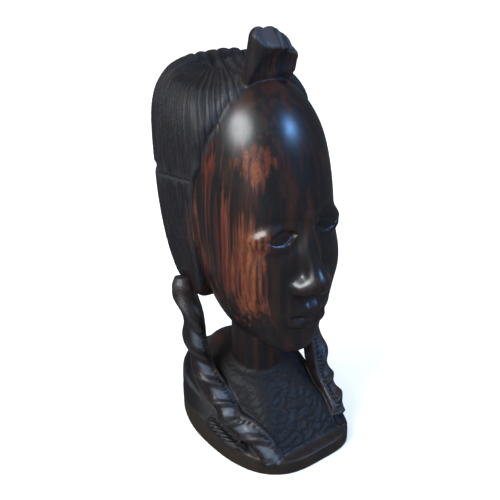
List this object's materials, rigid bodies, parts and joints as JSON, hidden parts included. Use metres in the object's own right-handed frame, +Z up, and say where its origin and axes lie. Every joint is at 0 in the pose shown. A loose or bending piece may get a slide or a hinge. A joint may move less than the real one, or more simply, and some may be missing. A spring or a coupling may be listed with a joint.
{
  "type": "carved wooden female bust",
  "caption": "Carved dark wood bust of a woman with a tall combed head of hair, a topknot, two free-hanging twisted tresses and a low base it stands on.",
  "frame": {"origin": "centre of the bounding box at the flat underside of the base", "axes": "+Z up along the height, -Y towards the front of the face, +X towards the figure's left"},
  "size_m": [0.0874, 0.1206, 0.2521],
  "materials": {
    "dark_wood": "dark heartwood, hand carved, polished on the face and neck, satin on the base, matt in the cut texture of the hair and chest, with red-brown streaks along the grain"
  },
  "bodies": {
    "root": {"bust": "dark_wood"}
  },
  "joints": []
}
